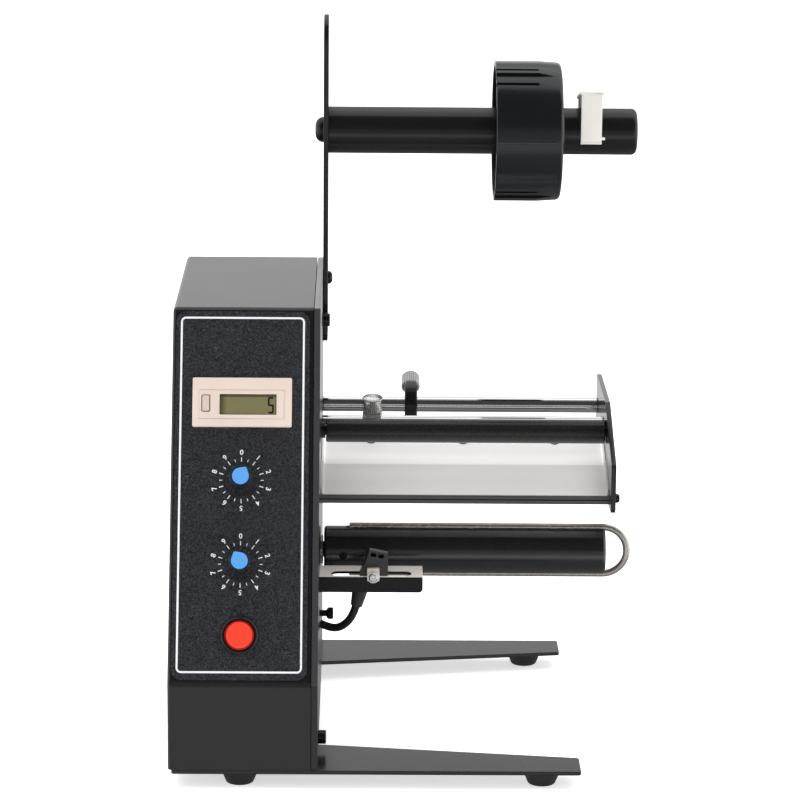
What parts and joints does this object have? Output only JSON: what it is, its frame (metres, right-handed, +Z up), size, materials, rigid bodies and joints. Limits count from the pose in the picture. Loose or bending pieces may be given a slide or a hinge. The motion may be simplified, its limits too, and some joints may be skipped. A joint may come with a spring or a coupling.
{
  "type": "label dispenser machine",
  "caption": "Table-top electric label dispenser: sloped control housing, cantilevered roll shaft with core hub, peel plate with guide rods, take-up roller and sliding label sensor.",
  "frame": {"origin": "middle of the overall box's plan, on the table under the rubber feet", "axes": "+Z up, +X from the control housing towards the free end plate, -Y towards the operator"},
  "size_m": [0.233, 0.2239, 0.3492],
  "materials": {
    "black_paint": "satin black powder coat",
    "panel_film": "fine-grained printed film",
    "counter_cream": "moulded, fine texture",
    "lcd": "display behind a clear window",
    "black_plastic": "moulded, polished",
    "matt_black_plastic": "moulded",
    "blue_plastic": "moulded",
    "red_lens": "translucent lens",
    "white_plastic": "moulded acetal",
    "chrome": "polished",
    "steel": "bright",
    "black_steel": "black oxide",
    "aluminium": "fine satin",
    "black_anodised": "black anodised aluminium, half gloss",
    "rubber": "matt",
    "black_rubber": "smooth",
    "brass": "plain",
    "board": "glass-fibre board",
    "laminations": "varnished",
    "cast_alloy": "die cast",
    "gear_plastic": "moulded acetal"
  },
  "bodies": {
    "frame": {"base_plate": "black_paint", "rubber_feet": "rubber", "foot_screws": "steel", "side_plate": "black_paint", "housing_cover": "black_paint", "cover_screws": "black_steel", "side_plate_screws": "black_steel", "cable_post": "black_steel", "control_overlay": "panel_film", "counter_case": "counter_cream", "counter_lcd": "lcd", "panel_pots": "steel", "power_switch_body": "black_plastic", "button_spring": "steel", "control_board": "board", "power_transformer": "laminations", "power_inlet": "matt_black_plastic", "roll_arm": "black_paint", "arm_bolts": "black_steel", "roll_shaft": "black_anodised", "rear_guide_rod": "chrome", "front_guide_rod": "chrome", "frame_screws": "black_steel", "roller_axle": "steel", "peel_plate": "aluminium", "peel_plate_screws": "black_steel", "peel_support_bar": "black_paint", "peel_edge_bar": "black_steel", "end_plate": "black_paint", "gearbox_case": "cast_alloy", "gearbox_cover": "cast_alloy", "gearbox_screws": "steel", "motor_can": "steel", "output_bush": "brass", "sensor_bracket": "black_paint", "sensor_cable": "rubber", "cable_grommet": "rubber"},
    "takeup": {"takeup_roller": "black_anodised", "roller_set_screw": "black_steel", "output_gear": "gear_plastic"},
    "idler": {"idler_gear": "gear_plastic"},
    "pinion": {"motor_pinion": "brass"},
    "clip": {"paper_clip": "steel"},
    "bush": {"hub_bush": "matt_black_plastic"},
    "hub": {"core_hub": "black_plastic"},
    "stop": {"stop_clip": "white_plastic"},
    "pressure": {"pressure_roller": "black_rubber"},
    "collar": {"guide_collar": "aluminium"},
    "collar_screw": {"collar_thumbscrew": "steel"},
    "guide": {"label_guide": "black_anodised"},
    "guide_screw": {"guide_thumbscrew": "black_steel"},
    "sensor": {"sensor_head": "matt_black_plastic", "sensor_clamp": "brass", "sensor_screw": "steel"},
    "length_control": {"length_knob": "black_plastic", "length_knob_cap": "blue_plastic"},
    "speed_control": {"speed_knob": "black_plastic", "speed_knob_cap": "blue_plastic"},
    "button": {"power_button": "red_lens"},
    "reset_key": {"counter_reset_key": "counter_cream"}
  },
  "joints": [
    {"name": "takeup_spin", "type": "hinge", "parent": "frame", "child": "takeup", "pos_m": [0, 0.0055, 0.0857], "axis": [1, 0, 0], "continuous": true},
    {"name": "idler_spin", "type": "hinge", "parent": "frame", "child": "idler", "pos_m": [0, 0.0055, 0.1105], "axis": [1, 0, 0], "continuous": true},
    {"name": "pinion_spin", "type": "hinge", "parent": "frame", "child": "pinion", "pos_m": [0, 0.0055, 0.1313], "axis": [1, 0, 0], "continuous": true},
    {"name": "paper_clip_slide", "type": "slide", "parent": "takeup", "child": "clip", "axis": [1, 0, 0], "range_m": [0, 0.145]},
    {"name": "hub_bush_slide", "type": "slide", "parent": "frame", "child": "bush", "axis": [1, 0, 0], "range_m": [-0.08, 0.005]},
    {"name": "hub_spin", "type": "hinge", "parent": "bush", "child": "hub", "pos_m": [0.06, 0.076, 0.2898], "axis": [1, 0, 0], "continuous": true},
    {"name": "stop_clip_slide", "type": "slide", "parent": "frame", "child": "stop", "axis": [1, 0, 0], "range_m": [0, 0.012]},
    {"name": "pressure_roller_spin", "type": "hinge", "parent": "frame", "child": "pressure", "pos_m": [0, 0.021, 0.144], "axis": [1, 0, 0], "continuous": true},
    {"name": "guide_collar_slide", "type": "slide", "parent": "frame", "child": "collar", "axis": [1, 0, 0], "range_m": [-0.019, 0.111]},
    {"name": "collar_thumbscrew_turn", "type": "hinge", "parent": "collar", "child": "collar_screw", "pos_m": [-0.0188, 0.037, 0.144], "axis": [0, -0.1908, 0.9816], "range_deg": [0, 360]},
    {"name": "label_guide_slide", "type": "slide", "parent": "frame", "child": "guide", "axis": [1, 0, 0], "range_m": [-0.041, 0.093]},
    {"name": "guide_thumbscrew_turn", "type": "hinge", "parent": "guide", "child": "guide_screw", "pos_m": [0.0015, 0.078, 0.144], "axis": [0, 0.8746, 0.4848], "range_deg": [0, 360]},
    {"name": "sensor_slide", "type": "slide", "parent": "frame", "child": "sensor", "axis": [1, 0, 0], "range_m": [-0.0112, 0.009], "deforming": ["sensor_cable"]},
    {"name": "length_knob_turn", "type": "hinge", "parent": "frame", "child": "length_control", "pos_m": [-0.08225, -0.07177, 0.14219], "axis": [0, -0.9124, 0.4093], "range_deg": [-234, 66]},
    {"name": "speed_knob_turn", "type": "hinge", "parent": "frame", "child": "speed_control", "pos_m": [-0.08225, -0.08847, 0.10496], "axis": [0, -0.9124, 0.4093], "range_deg": [-296, 4]},
    {"name": "power_button_press", "type": "slide", "parent": "frame", "child": "button", "axis": [0, 0.9124, -0.4093], "range_m": [0, 0.003], "stiffness_N_per_m": 300, "springref_m": -0.002, "deforming": ["button_spring"]},
    {"name": "reset_key_press", "type": "slide", "parent": "frame", "child": "reset_key", "axis": [0, 0.9124, -0.4093], "range_m": [0, 0.0006], "stiffness_N_per_m": 250, "springref_m": -0.001}
  ],
  "couplings": [
    {"joint": "idler_spin", "follows": "takeup_spin", "ratio": -3.4286},
    {"joint": "pinion_spin", "follows": "takeup_spin", "ratio": 11.429}
  ]
}
